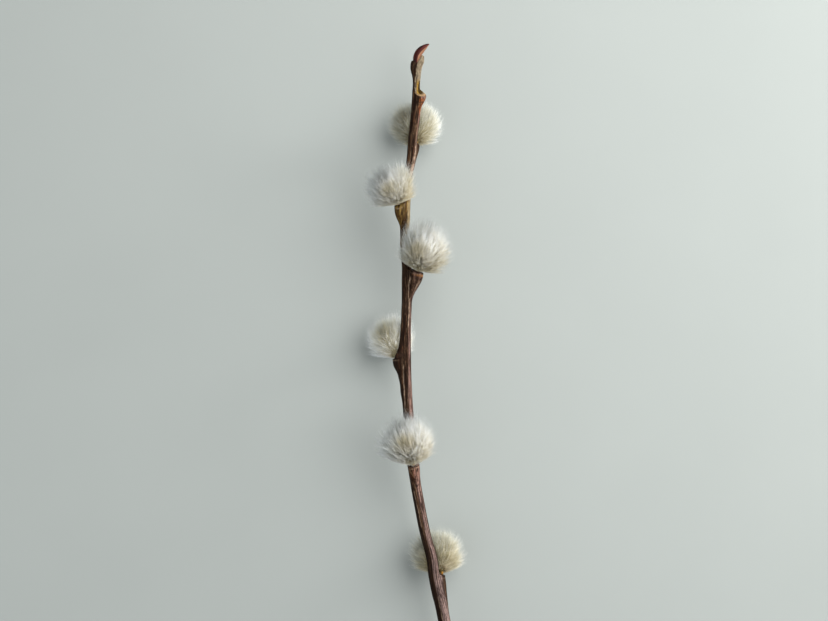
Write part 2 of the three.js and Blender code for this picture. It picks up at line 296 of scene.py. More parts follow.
def barkForm(y, turn):
    # how far the stem stands out, and how far its skin slides back, at y and turn
    out = along(lineRadii, y)
    back = np.zeros_like(out)
    for count, depth, twist, start in barkRidges:
        out = out + depth * np.sin(count * (np.radians(turn) + twist * y) + start)
    for name, cushion in cushions.items():
        add = cushionOut(cushion, y, turn)
        back = back + add * cushion["lip"]
        if name == flank["cushion"]:
            climb = flank["height"] * np.exp((flank["y"] - y) / flank["fall"]) * (y > flank["y"] - 0.4)
            add = np.maximum(add, climb * bell(turnGap(turn, flank["turn"]), flank["spread"]))
        out = out + add
    for place, length, side, spread, height in swells:
        out = out + height * bell(np.abs(y - place), length) * bell(turnGap(turn, side), spread)
    out = out - hollow["depth"] * bell(np.abs(y - hollow["y"]), hollow["length"]) \
        * bell(turnGap(turn, hollow["turn"]), hollow["spread"])
    back = back - sag["amount"] * bell(np.abs(y - sag["y"]), sag["length"]) \
        * (1 - bell(turnGap(turn, sag["turn"]), sag["spread"]))
    return out, back


def makePiece(name, points, faces, material, attributes=None, uv=None, normals=None):
    # points in millimetres, faces as an array of triangles or of quads, uv and normals per point
    mesh = bpy.data.meshes.new(name)
    sides = faces.shape[1]
    mesh.vertices.add(len(points))
    mesh.vertices.foreach_set("co", (points * mm).astype(np.float32).ravel())
    mesh.loops.add(faces.size)
    mesh.loops.foreach_set("vertex_index", faces.astype(np.int32).ravel())
    mesh.polygons.add(len(faces))
    mesh.polygons.foreach_set("loop_start", np.arange(0, faces.size, sides, dtype=np.int32))
    mesh.polygons.foreach_set("use_smooth", np.full(len(faces), True))
    for key, values in (attributes or {}).items():
        kind = "FLOAT" if values.ndim == 1 else "FLOAT_VECTOR"
        layer = mesh.attributes.new(key, kind, "POINT")
        layer.data.foreach_set("value" if values.ndim == 1 else "vector", values.astype(np.float32).ravel())
    if uv is not None:
        layer = mesh.uv_layers.new(name="OFBake")
        layer.data.foreach_set("uv", uv[faces.ravel()].astype(np.float32).ravel())
    mesh.update()
    mesh.validate()
    if normals is not None:
        mesh.normals_split_custom_set_from_vertices(normals.astype(np.float32))
    mesh.materials.append(material)
    piece = bpy.data.objects.new(name, mesh)
    scene.collection.objects.link(piece)
    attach(piece, "root")
    return piece


def ringFaces(rings, sides):
    # quads between rings of points, with the outside facing out
    i, j = np.meshgrid(np.arange(rings - 1) * sides, np.arange(sides), indexing="ij")
    k = (j + 1) % sides
    return np.stack([i + j, i + sides + j, i + sides + k, i + k], axis=-1).reshape(-1, 4)


def halves(quads):
    return np.concatenate([quads[:, [0, 1, 2]], quads[:, [0, 2, 3]]])


def closedFaces(rings, sides):
    # triangles of a tube whose two ends close on two more points, which come after its rings
    i = np.arange(sides)
    after = (i + 1) % sides
    top = (rings - 1) * sides
    first = np.full(sides, rings * sides)
    return np.concatenate([halves(ringFaces(rings, sides)), np.stack([first, i, after], axis=-1),
                           np.stack([first + 1, top + after, top + i], axis=-1)])


def groupNode(tree, group, inputs):
    return nodeOf(tree, "ShaderNodeGroup", inputs, node_tree=group).outputs


def startGroup(name, inputs, outputs):
    # an input with no value is a place, and everything else is a number
    group = bpy.data.node_groups.new(name, "ShaderNodeTree")
    for label, value in inputs.items():
        kind = "NodeSocketVector" if value is None else "NodeSocketFloat"
        socket = group.interface.new_socket(label, in_out="INPUT", socket_type=kind)
        if value is not None:
            socket.default_value = value
    for label in outputs:
        group.interface.new_socket(label, in_out="OUTPUT", socket_type="NodeSocketFloat")
    return group, nodeOf(group, "NodeGroupInput").outputs, nodeOf(group, "NodeGroupOutput").inputs


def buildStreaks():
    # long narrow streaks that follow the stem, soft or sharp
    group, start, end = startGroup("long_streaks", {"Coordinates": None, "Scale": 1.0, "Stretch": 0.1,
                                   "Seed": 0.0, "From": 0.4, "To": 0.6}, ["Mask", "Height"])
    squeeze = nodeOf(group, "ShaderNodeCombineXYZ", {0: 1.0, 1: 1.0, 2: start["Stretch"]}).outputs[0]
    place = nodeOf(group, "ShaderNodeVectorMath", {0: start["Coordinates"], 1: squeeze},
                   operation="MULTIPLY").outputs[0]
    noise = nodeOf(group, "ShaderNodeTexNoise", {"Vector": place, "W": start["Seed"], "Scale": start["Scale"],
                   "Detail": 4, "Roughness": 0.55}, noise_dimensions="4D").outputs["Fac"]
    mask = ranged(group, noise, start["From"], start["To"], kind="SMOOTHSTEP")
    group.links.new(mask, end["Mask"])
    group.links.new(noise, end["Height"])
    return group


def buildSpecks():
    # small round spots, such as pores and dust
    group, start, end = startGroup("fine_specks", {"Coordinates": None, "Scale": 1.0, "Size": 0.3,
                                   "Share": 0.3}, ["Mask", "Grain"])
    pattern = {"Vector": start["Coordinates"], "Scale": start["Scale"]}
    cells = nodeOf(group, "ShaderNodeTexVoronoi", pattern).outputs
    near = ranged(group, cells["Distance"], start["Size"], 0.0, kind="SMOOTHSTEP")
    pick = nodeOf(group, "ShaderNodeSeparateColor", {0: cells["Color"]}).outputs[0]
    chosen = mathOf(group, "LESS_THAN", pick, start["Share"])
    grain = nodeOf(group, "ShaderNodeTexNoise", {**pattern, "Detail": 3}).outputs["Fac"]
    group.links.new(mathOf(group, "MULTIPLY", near, chosen), end["Mask"])
    group.links.new(grain, end["Grain"])
    return group


streakGroup = buildStreaks()
speckGroup = buildSpecks()
print("shared effects built")


stemLook = {
    "sides": 88, "ringStep": 0.34, "ledgeStep": 0.09, "closest": 0.03,
    "wrinkleDepth": 0.075,          # deepest long wrinkles of the bark
    # how many wrinkles go round the stem, and how deep they are beside the others
    "wrinkles": [(5, 0.7), (7, 1.0), (9, 0.9), (12, 0.8), (15, 0.6), (19, 0.45), (26, 0.35), (34, 0.25)],
    "peelDepth": 0.13,              # the bark's thickness at the edge of the bare wood
    "shoulder": 0.45,               # how far the top of the cushion under the bud slopes back
    "cutBulge": -0.05, "tipBulge": 0.25, "cutTurn": 70, "cutReach": 6,
    # the bloom colours and beige below are painted sheen on the sunny side of the bark, as oliveSun is on the
    # olive stretch; barkDark also serves as painted shade
    "barkDark": (0.010, 0.004, 0.002), "barkMiddle": (0.060, 0.034, 0.019), "barkBloomSheen": (0.200, 0.116, 0.094),
    "lowBloomSheen": (0.258, 0.176, 0.158),
    "tanStreak": (0.210, 0.130, 0.075), "rustStreak": (0.105, 0.045, 0.022), "beige": (0.330, 0.225, 0.165),
    "oliveBark": (0.205, 0.130, 0.036), "oliveSun": (0.290, 0.225, 0.115), "oliveDark": (0.070, 0.036, 0.010),
    "warmBark": (0.400, 0.122, 0.040), "warmDark": (0.085, 0.034, 0.015),
    "bareWood": (0.235, 0.185, 0.120), "bareGrey": (0.070, 0.052, 0.036), "rib": (0.330, 0.235, 0.165),
    "gold": (0.270, 0.155, 0.028), "goldDark": (0.034, 0.018, 0.002), "rim": (0.280, 0.180, 0.095),
    "cutWood": (0.360, 0.290, 0.170), "pith": (0.220, 0.140, 0.060), "collar": (0.370, 0.160, 0.048),
    # streaks: scale, stretch, seed, and the values of their noise at which they start and are full
    "streaks": {"broad": (0.9, 0.12, 1.0, 0.40, 0.60), "middle": (2.0, 0.10, 4.0, 0.53, 0.58),
                "rust": (1.7, 0.10, 21.0, 0.52, 0.58), "fine": (4.2, 0.14, 9.0, 0.44, 0.60),
                "bloomSheen": (1.7, 0.10, 14.0, 0.42, 0.52), "groove": (1.9, 0.09, 30.0, 0.53, 0.57),
                "breaks": (1.1, 0.55, 17.0, 0.42, 0.52), "grain": (3.4, 0.45, 33.0, 0.38, 0.62)},
    "specks": {"Scale": 0.85, "Size": 0.20, "Share": 0.22},
    # how strongly streaks and marks cover what is under them, painted sheen and shade among them
    "cover": {"rust": 0.38, "oliveSun": 0.82, "warm": 0.85, "warmTan": 0.7, "specks": 0.65, "creviceShade": 0.8,
              "streakGroove": 0.85, "groove": 0.90, "shadeSide": 0.75, "leafScar": 0.60, "ledge": 0.80,
              "woodGrain": 0.6, "bloomSheen": (0.56, 0.36), "rib": (0.45, 0.55), "tan": (0.34, 0.38)},
    # light and dark mottling: streaks, the range of their noise, and how dark and light it makes the bark
    "mottle": [("fine", 0.3, 0.7, 0.60, 1.35), ("grain", 0.35, 0.65, 0.62, 1.38)],
    "bump": (0.7, 0.22),            # strength, and depth in millimetres
    # edge of the bare wood on the shaded side: y, and turn there
    "seam": ([98.3, 100, 102.5, 105, 106.3, 107.8, 110], [112, 127, 118, 105, 112, 134, 140]),
    # stretches of the stem: y where each begins, is full, is still full and ends; the painted sheen is dulled in
    # one and the painted shade widens in another
    "stretches": {"hollow": (98.0, 98.3, 101.5, 103.0), "olive": (48, 53, 66.5, 69), "beige": (71, 75, 86, 90),
                  "warm": (90.5, 94.5, 96.6, 97.4), "ruddy": (-19, -16, -13.2, -12.2),
                  "dullSun": (35, 39, 44, 45), "darkSide": (16, 19.5, 25, 29)},
    # pale raised lines of the bark: from y, to y, turn, half width in degrees, strength
    "ribs": [(28.0, 37.5, 60, 8, 1.0), (36.0, 44.3, 71, 4, 1.0), (39.0, 43.6, 34, 4, 0.7),
             (41.0, 44.2, 18, 3, 0.8), (2.2, 17.6, 119, 8, 0.8), (64.5, 66.5, 96, 7, 0.7),
             (-32, -20, 118, 6, 0.7), (72.5, 80.0, 66, 8, 0.6), (-64, -52, 104, 6, 0.6)],
    "roughness": (0.45, 0.66),
}


def wrinkleHeight(y, turn):
    # ridges that run along the stem, wander a little and fade in and out
    rng = np.random.default_rng(41)
    total = np.zeros_like(y)
    for count, share in stemLook["wrinkles"]:
        phase, slow, quick, lift = rng.uniform(0, 2 * math.pi, 4)
        wander = 1.3 * np.sin(y / rng.uniform(9, 19) + slow) + 0.6 * np.sin(y / rng.uniform(3, 6) + quick)
        strength = 0.55 + 0.45 * np.sin(y / rng.uniform(7, 16) + lift)
        wave = np.sin(count * np.radians(turn) + phase + wander)
        total += share * strength * (1 - 2 * np.abs(wave)**0.8)
    return total / 2.6


def stemMasks(y, turn):
    # where the bark is peeled, gold, rimmed, olive or warm, and where sheen and shade are painted on it
    def stretch(name):
        return between(y, *stemLook["stretches"][name])

    seam = np.interp(y, *stemLook["seam"])
    wobble = 5 * np.sin(y * 2.1) + 3 * np.sin(y * 5.3 + 1)
    peeled = fade(seam + wobble - turn, -4, 4) * fade(turn, -74, -62) * fade(y, 97.9, 98.3)
    # painted shade in the hollow beside the wound
    hollowShade = fade(63 - 2.5 * (y - 98.2) + 0.4 * wobble - turn, 0, 9) * stretch("hollow")
    gold = peeled * fade(103.2 - y, 0, 2) * fade(turn, 30, 40) * fade(98 + 0.5 * wobble - turn, 0, 12)
    rim = bell(np.abs(y - 97.80), 0.44) * fade(bell(turnGap(turn, 50), 95), 0.12, 0.4)
    olive = stretch("olive")
    warm = stretch("warm") * fade(turn, -50, -20) * fade(74 + 5 * np.sin(y / 1.7) - turn, 0, 14)
    warm = warm + 0.22 * stretch("ruddy") * bell(turnGap(turn, 92), 60)

    # painted sheen on the sunny side in a pinkish bloom colour, and painted shade on the other side and underneath
    wander = 9 * np.sin(y / 9 + 1) + 5 * np.sin(y / 3.7)
    low, under = fade(-y, -1, 15), fade(-y, 17, 24)
    sunSide = fade(turn + 0.5 * wander, 14, 30) * fade(66 + 34 * low + wander * (1 - 0.4 * low) - turn, 0, 12)
    sunSide = sunSide * (1 - 0.75 * bell(turnGap(turn, 45), 34) * stretch("dullSun"))
    # painted shade: the side away from the light and the underside turn near black, wider in one stretch
    starts, full = 140 - 20 * low - 18 * under, 165 - 15 * low - 32 * under
    shadeSide = fade(turn + wander * (1 - 0.6 * under), starts, full)
    shadeSide = np.maximum(shadeSide, 0.9 * bell(turnGap(turn, 160), 58) * stretch("darkSide"))
    shadeSide = (shadeSide + fade(-turn - wander, 20, 50)) * (1 - 0.9 * olive)

    line = 87 + 5 * np.sin(y / 3.1) + 4 * np.sin(y / 1.3 + 2)
    groove = bell(turnGap(turn, line), 12) * (0.55 + 0.45 * np.sin(y / 5 + 1.2 * np.sin(y / 2.7)))
    groove = np.maximum(groove, 0.7 * olive * bell(turnGap(turn, 98 + 4 * np.sin(y / 2.3)), 24))
    rib = np.zeros_like(y)
    for start, end, place, width, share in stemLook["ribs"]:
        line = place + 3 * np.sin(y / 1.9) + 1.5 * np.sin(y * 1.7)
        form = bell(turnGap(turn, line), width) * between(y, start, start + 1.5, end - 1, end)
        rib = np.maximum(rib, share * form)

    # painted shade on the ledge under each catkin, with the pale scar of its leaf below
    ledge, leafScar = np.zeros_like(y), np.zeros_like(y)
    for spec in catkins.values():
        cushion = cushions[spec["ledge"]]
        near = bell(turnGap(turn, cushion["turn"]), 0.75 * cushion["spread"])
        above = y - cushion["y"]
        ledge = ledge + near * bell(np.abs(above + 0.10), 0.30)
        leafScar = leafScar + near * bell(np.abs(above + 0.72 + 0.25 * np.cos(np.radians(turn * 3))), 0.26)
    collar = bell(turnGap(turn, 22), 46) * bell(np.abs(y - 44.85), 0.50)
    return {"peeled": peeled, "gold": gold, "beige": stretch("beige"), "hollowShade": hollowShade, "rim": rim,
            "olive": olive, "warm": warm, "sunSide": sunSide * (1 - 0.8 * olive), "oliveSun": sunSide * olive,
            "shadeSide": shadeSide, "ledge": ledge, "low": low, "foot": fade(-y, 12, 48), "leafScar": leafScar,
            "rib": rib, "collar": collar, "groove": groove * (1 - peeled)}


def makeBark():
    look, cover = stemLook, stemLook["cover"]
    material, tree, output = newMaterial("willow_bark")
    coords = attributeOf(tree, "barkPlace", "Vector")
    streaks = {}
    for name, values in look["streaks"].items():
        inputs = dict(zip(("Scale", "Stretch", "Seed", "From", "To"), values), Coordinates=coords)
        streaks[name] = groupNode(tree, streakGroup, inputs)
    specks = groupNode(tree, speckGroup, {**look["specks"], "Coordinates": coords})

    def mask(name):
        return attributeOf(tree, name)

    def streak(name):
        return streaks[name]["Mask"]

    def times(a, b):
        return mathOf(tree, "MULTIPLY", a, b)

    def plus(a, b):
        return mathOf(tree, "ADD", a, b)

    def mix(amount, a, b):
        # a colour is a name in the look, or a socket
        a, b = (look[color] if isinstance(color, str) else color for color in (a, b))
        return mixColor(tree, amount, a, b)

    olive = mix(streak("broad"), "oliveDark", "oliveBark")
    # painted sheen on the sunny side of the olive stretch
    olive = mix(times(mask("oliveSun"), cover["oliveSun"]), olive, "oliveSun")
    # a pinkish bloom colour painted as sheen on the sunny side, beige in one stretch and paler at the foot
    bloomAndSheen = mix(mask("beige"), "barkBloomSheen", "beige")
    bloomAndSheen = mix(mask("foot"), bloomAndSheen, "lowBloomSheen")
    # how much of the painted sheen shows, in streaks
    sheenBase, sheenMore = cover["bloomSheen"]
    sheenCover = plus(times(streak("bloomSheen"), sheenMore), sheenBase)
    warm = mix(streak("bloomSheen"), "warmDark", "warmBark")
    warm = mix(times(streak("middle"), cover["warmTan"]), warm, "tanStreak")
    tan = times(times(streak("middle"), streak("breaks")), ranged(tree, mask("low"), 0, 1, *cover["tan"]))
    ribBase, ribMore = cover["rib"]
    unbroken = plus(times(streak("breaks"), ribMore), ribBase)
    # painted shade in the valleys of the wrinkles, with dark grooves and streaks of the bark
    darkLinesAndCreviceShade = ranged(tree, mask("crest"), 0.40, 0.05, 0.0, cover["creviceShade"])
    darkLinesAndCreviceShade = mathOf(tree, "MAXIMUM", darkLinesAndCreviceShade, times(streak("groove"), cover["streakGroove"]))
    darkLinesAndCreviceShade = mathOf(tree, "MAXIMUM", darkLinesAndCreviceShade, times(mask("groove"), cover["groove"]))
    grain = times(streak("fine"), cover["woodGrain"])
    wood = mix(grain, mix(streak("middle"), "bareWood", "bareGrey"), "bareGrey")

    # layers from the dark bark up to the wound, its rim and the cut end
    color = mix(streak("broad"), "barkDark", "barkMiddle")
    for amount, top in (
            (times(streak("rust"), cover["rust"]), "rustStreak"),
            (tan, "tanStreak"),
            (mask("olive"), olive),
            # painted sheen on the sunny side
            (times(mask("sunSide"), sheenCover), bloomAndSheen),
            (times(mask("warm"), cover["warm"]), warm),
            (times(specks["Mask"], cover["specks"]), "tanStreak"),
            # painted shade in the wrinkles' valleys, with dark grooves and streaks
            (darkLinesAndCreviceShade, "barkDark"),
            # painted shade on the side away from the light and underneath
            (times(mask("shadeSide"), cover["shadeSide"]), "barkDark"),
            (times(mask("leafScar"), cover["leafScar"]), "rib"),
            # painted shade on the ledge under each catkin
            (times(mask("ledge"), cover["ledge"]), "barkDark"),
            (times(mask("rib"), unbroken), "rib"),
            (mask("collar"), "collar"),
            (mask("peeled"), wood),
            (mask("gold"), mix(grain, "gold", "goldDark")),
            # painted shade in the hollow by the wound
            (mask("hollowShade"), "goldDark"),
            (mask("rim"), "rim"),
            (mask("cutEnd"), mix(mask("pith"), "cutWood", "pith"))):
        color = mix(amount, color, top)
    for name, *reach in look["mottle"]:
        color = mixColor(tree, 1.0, color, ranged(tree, streaks[name]["Height"], *reach), "MULTIPLY")

    fine = streaks["fine"]["Height"]
    height = plus(plus(times(streaks["middle"]["Height"], 0.6), fine), times(specks["Grain"], 0.25))
    strength, depth = look["bump"]
    bump = nodeOf(tree, "ShaderNodeBump", {"Height": height, "Strength": strength, "Distance": depth * mm})
    shader = nodeOf(tree, "ShaderNodeBsdfPrincipled", {"Base Color": color, "Normal": bump.outputs[0],
                    "Roughness": ranged(tree, fine, 0.3, 0.7, *look["roughness"]), "Specular IOR Level": 0.05})
    tree.links.new(shader.outputs[0], output.inputs[0])
    return material


def closeRing(ring, pull):
    # three smaller rings and a middle point that close a ring, pulled out or in
    middle = ring.mean(axis=0)
    smaller = [middle + (ring - middle) * share + pull * (1 - share) for share in (0.86, 0.55, 0.25)]
    return np.array(smaller), middle + pull


def overCaps(values, first, last):
    # values of the stem's rings, with those of the three rings at each end
    shape = (3,) + values.shape[1:]
    return np.concatenate([np.broadcast_to(first, shape), values, np.broadcast_to(last, shape)])


def makeStem():
    look = stemLook
    low, high = stemLine[0, 1], stemLine[-1, 1]
    stations = set(np.round(np.arange(low, high, look["ringStep"]), 3)) | {high}
    for cushion in cushions.values():
        start, end = cushion["y"] - 0.5, min(cushion["y"] + cushion["drop"] + 0.25, high)
        stations |= set(np.round(np.arange(start, end, look["ledgeStep"]), 3))
    stations = np.array(sorted(stations))
    stations = stations[np.insert(np.diff(stations) > look["closest"], 0, True)]
    sides = look["sides"]
    y, turn = np.meshgrid(stations, 360 * np.arange(sides) / sides, indexing="ij")
    masks = stemMasks(y, (turn + 90) % 360 - 90)      # -90 to 270, so that their seam is underneath
    crest = wrinkleHeight(y, turn)
    masks["crest"] = np.clip(0.5 + 0.5 * crest, 0, 1)

    # the skin, with its wrinkles, the peeled strip, the shoulder under the bud and the slanted cut
    out, back = barkForm(y, turn)
    calm = 1 - 0.6 * masks["peeled"]
    out = out + look["wrinkleDepth"] * crest * calm - look["peelDepth"] * masks["peeled"]
    centre, forward, right, up, radius = stemAt(y)
    angle = np.radians(turn)[..., None]
    outward = right * np.cos(angle) + up * np.sin(angle)
    points = centre + outward * out[..., None] - forward * back[..., None]
    shoulder = cushionOut(cushions["tip"], y, turn) * look["shoulder"]
    points = points - forward * shoulder[..., None]
    slide = cutSlant * radius[0] * np.cos(np.radians(turn[0] - look["cutTurn"]))
    reach = np.clip(1 - (stations - low) / look["cutReach"], 0, 1)[:, None, None]**2
    points = points + forward * slide[None, :, None] * reach
    points[..., 2] = np.maximum(points[..., 2], 0)
    startRings, startMiddle = closeRing(points[0], forward[0, 0] * look["cutBulge"])
    endRings, endMiddle = closeRing(points[-1], forward[-1, 0] * look["tipBulge"])
    rings = np.concatenate([startRings[::-1], points, endRings])

    # every mask, and the place on the straightened stem that its patterns use
    attributes = {}
    for key, values in masks.items():
        body = overCaps(values, 0.6 if key == "crest" else 0.0, values[-1])
        attributes[key] = np.append(body, [0.0, values[-1].mean()])
    around = np.stack([np.cos(angle[..., 0]) * out, np.sin(angle[..., 0]) * out, y + 120], axis=-1)
    body = overCaps(around, around[0], around[-1]).reshape(-1, 3)
    middles = [[0, 0, 7.4], [0, 0, y[-1, 0] + 120]]      # of the cut and of the tip
    attributes["barkPlace"] = np.vstack([body, middles])
    cutEnd, pith = np.zeros(rings.shape[:2]), np.zeros(rings.shape[:2])
    cutEnd[:3], pith[0] = 1, 1
    attributes["cutEnd"], attributes["pith"] = np.append(cutEnd, [1, 0]), np.append(pith, [1, 0])

    faces = closedFaces(len(rings), sides)
    allPoints = np.vstack([rings.reshape(-1, 3), startMiddle, endMiddle])
    piece = makePiece("willow_stem", allPoints, faces, makeBark(), attributes)
    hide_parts("stem")
    print("stem:", len(faces), "triangles")


makeStem()


budLook = {
    "sides": 64, "steps": 14,
    "edge": 58,                            # degrees from the right where the scale's edge lies
    "curl": 0.035, "curlWidth": 0.13,      # height and width of the curled edge
    "tipReach": 0.06,
    "scaleDark": (0.007, 0.002, 0.002), "scaleRed": (0.075, 0.008, 0.005),
    "inner": (0.220, 0.102, 0.056), "innerEdge": (0.150, 0.045, 0.024),
    "roughness": (0.40, 0.55),
    "bump": (0.35, 0.12),                  # strength, and depth in millimetres
}


def makeBudMaterial():
    look = budLook
    material, tree, output = newMaterial("bud_scale")
    coords = attributeOf(tree, "budPlace", "Vector")
    lines = groupNode(tree, streakGroup, {"Coordinates": coords, "Scale": 2.6, "Stretch": 0.12, "Seed": 3.0,
                      "From": 0.42, "To": 0.62})
    fine = groupNode(tree, streakGroup, {"Coordinates": coords, "Scale": 7.0, "Stretch": 0.10, "Seed": 8.0,
                     "From": 0.45, "To": 0.62})
    color = mixColor(tree, lines["Mask"], look["scaleDark"], look["scaleRed"])
    color = mixColor(tree, attributeOf(tree, "reddish"), color, look["scaleRed"])
    inner = mixColor(tree, fine["Mask"], look["inner"], look["innerEdge"])
    inner = mixColor(tree, 0.55, inner, look["inner"])
    color = mixColor(tree, attributeOf(tree, "inner"), color, inner)
    strength, depth = look["bump"]
    bump = nodeOf(tree, "ShaderNodeBump", {"Height": fine["Height"], "Strength": strength,
                  "Distance": depth * mm})
    rough = ranged(tree, fine["Height"], 0.3, 0.7, *look["roughness"])
    shader = nodeOf(tree, "ShaderNodeBsdfPrincipled", {"Base Color": color, "Roughness": rough,
                    "Normal": bump.outputs[0], "Specular IOR Level": 0.14})
    tree.links.new(shader.outputs[0], output.inputs[0])
    return material


def makeBud():
    look = budLook
    places, numbers = smoothLine(budLine[:, :3], look["steps"])
    width, depth = (np.interp(numbers, np.arange(len(budLine)), budLine[:, k])[:, None] for k in (3, 4))
    forward = unit(np.gradient(places, axis=0))
    up = unit(np.array([0, 0, 1.0]) - forward * forward[:, 2:3])
    right = np.cross(forward, up)
    sides = look["sides"]
    turn = 2 * np.pi * np.arange(sides)[None, :] / sides
    share = (numbers / numbers[-1])[:, None]

    # the scale's edge curls over the paler inner face, on the right
    edge = np.radians(look["edge"]) + 0.25 * np.sin(4 * share)
    gap = np.abs(np.mod(turn + np.pi, 2 * np.pi) - np.pi)
    inner = fade(edge - gap, -0.10, 0.10)
    lip = np.exp(-((gap - edge - 0.10) / look["curlWidth"])**2)
    out = 1 - 0.05 * inner + look["curl"] * lip + 0.008 * np.sin(9 * turn + 3 * share)
    points = (places[:, None] + right[:, None] * (width * np.cos(turn) * out)[..., None]
              + up[:, None] * (depth * np.sin(turn) * out)[..., None])
    faces = closedFaces(len(places), sides)
    tip = places[-1] + forward[-1] * look["tipReach"]
    allPoints = np.vstack([points.reshape(-1, 3), places[0], tip])

    length = np.append(0, np.cumsum(np.linalg.norm(np.diff(places, axis=0), axis=1)))
    local = np.stack([width * np.cos(turn), depth * np.sin(turn),
                      np.repeat(length[:, None], sides, axis=1)], axis=-1)
    reddish = bell(np.abs(gap - edge - 0.45), 0.55) * (0.35 + 0.65 * fade(share, 0.3, 0.8))
    attributes = {
        "budPlace": np.vstack([local.reshape(-1, 3), [0, 0, 0], [0, 0, length[-1]]]),
        "inner": np.append(inner, [0, 0.5]), "reddish": np.append(reddish, [0, 0.5])}
    piece = makePiece("claw_bud", allPoints, faces, makeBudMaterial(), attributes)
    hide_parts("tip_bud")
    print("bud:", len(faces), "triangles")


makeBud()


hairLook = {
    "count": 43000,
    "width": (0.013, 0.027),
    "length": (0.60, 1.12),          # share of the ball's radius at which hairs end
    "loose": 0.30, "looseReach": 1.22,
    "wisps": 1800, "wispLean": 0.055,
    "wispUneven": (2.6, 1.5), "wispEnds": (0.55, 1.12),    # how wisps differ in length, and how hairs in a wisp do
    "spread": (0.16, 0.11, 0.12),    # how far the hairs of a wisp stand apart at root, bend and tip
    "tufts": 60, "tuftUneven": 0.12,
    "ragged": (0.84, 1.2),           # how unevenly the hair rises from the stalk
    "twist": 40,                     # degrees that a hair may turn about itself
    "bend": 0.52,                    # share of a hair's length at which it bends
    "rootWander": 0.15, "bendWander": 0.045,
    "clear": 0.14,                   # gap between hair and bark
    "above": (0.05, 0.5),            # gap between hair and table, and how much more the bends may have
    "bald": -0.965,                  # no hair this near the stalk
    "coreRadius": 2.3, "coreShare": 0.58, "bow": 0.13, "flare": 0.12,
    # painted light and shade: colours of a hair from root to tip, lit, shaded, and glowing warm near the stalk on
    # the sunny side
    "light": [(0.18, (0.140, 0.100, 0.035)), (0.54, (0.540, 0.480, 0.285)), (0.80, (0.905, 0.895, 0.835)),
              (0.93, (0.915, 0.945, 0.985))],
    "shade": [(0.18, (0.125, 0.110, 0.075)), (0.54, (0.590, 0.598, 0.515)), (0.78, (0.930, 0.950, 0.935)),
              (0.92, (0.905, 0.940, 0.945))],
    "sunny": [(0.0, (0.450, 0.270, 0.080)), (0.5, (0.880, 0.800, 0.600)), (1.0, (0.910, 0.880, 0.790))],
    "bracts": [(0.04, (0.600, 0.290, 0.050)), (0.09, (0.110, 0.085, 0.035)), (1.0, (0.110, 0.085, 0.035))],
    "thinDark": 0.25, "thinWarm": 0.45,    # how much darker and warmer hair is where it is thin
    # the side toward the light, where warmth is painted as glow, and how each wisp's own warmth differs
    "sun": (0.85, -0.40, 0.34), "ownWarmth": 0.07,
    "coreMap": 0.93,                 # the bracts' part of the map starts here
    "softShade": 0.32,               # how far hairs are shaded as one round ball of down
    "lift": 0.25,                    # how far the down catches light from above
    "see": 0.35,                     # share of light that goes through a hair
    "roughness": 0.45,
}

# stalk: its radius
# skirt: how steeply the hair rises to the left and to the right of the stalk
# longer: sides with longer hair, in degrees from the right, how much longer and how narrow the side is
# thin: where dark roots show, as a direction from the ball's middle, width in degrees and share
# tone and painted light: side painted paler as light and opposite side painted darker as shade, in degrees from
# the right, how much paler it is, paleness and warmth of all the hair
catkinLook = {
    "catkin_1": {"stalk": 0.40, "skirt": (0.10, 0.10), "longer": [(165, 0.12, 0.5)],
                 "thin": [(-0.6, 0.3, 0.5, 40, 0.3)], "toneAndPaintedLight": (-65, 0.21, -0.11, 0.40)},
    "catkin_2": {"stalk": 0.45, "skirt": (0.34, -0.10),
                 "longer": [(50, 0.22, 0.78), (-48, 0.07, 0.55), (175, 0.10, 0.5)],
                 "thin": [(-0.2, -0.02, 1, 50, 0.72)], "toneAndPaintedLight": (205, 0.09, 0.07, 0.9)},
    "catkin_3": {"stalk": 1.00, "skirt": (0.22, 0.22), "longer": [(95, 0.16, 0.4), (-38, 0.08, 0.6)],
                 "thin": [(-0.40, 0.0, 1, 48, 0.72)], "toneAndPaintedLight": (205, 0.02, 0.06, 1.0)},
    "catkin_4": {"stalk": 0.40, "skirt": (0.34, 0.12), "longer": [(5, -0.16, 0.5)],
                 "thin": [(-0.50, 0.45, 0.8, 46, 0.75), (1, -0.1, 0.1, 55, 0.90)],
                 "toneAndPaintedLight": (290, 0.26, 0.14, 0.42), "stalkHidden": True},
    "catkin_5": {"stalk": 0.34, "skirt": (0.62, 0.30), "longer": [(190, 0.14, 0.4), (96, 0.10, 0.6)],
                 "thin": [(-0.20, 0.18, 1, 50, 0.93)], "toneAndPaintedLight": (-80, 0.10, 0.14, 1.0)},
    "catkin_6": {"stalk": 0.32, "skirt": (0.56, 0.02), "longer": [(-40, 0.05, 0.50)],
                 "thin": [(-0.3, -0.3, 1, 45, 0.4)], "toneAndPaintedLight": (-60, 0.18, -0.12, 0.55)},
}


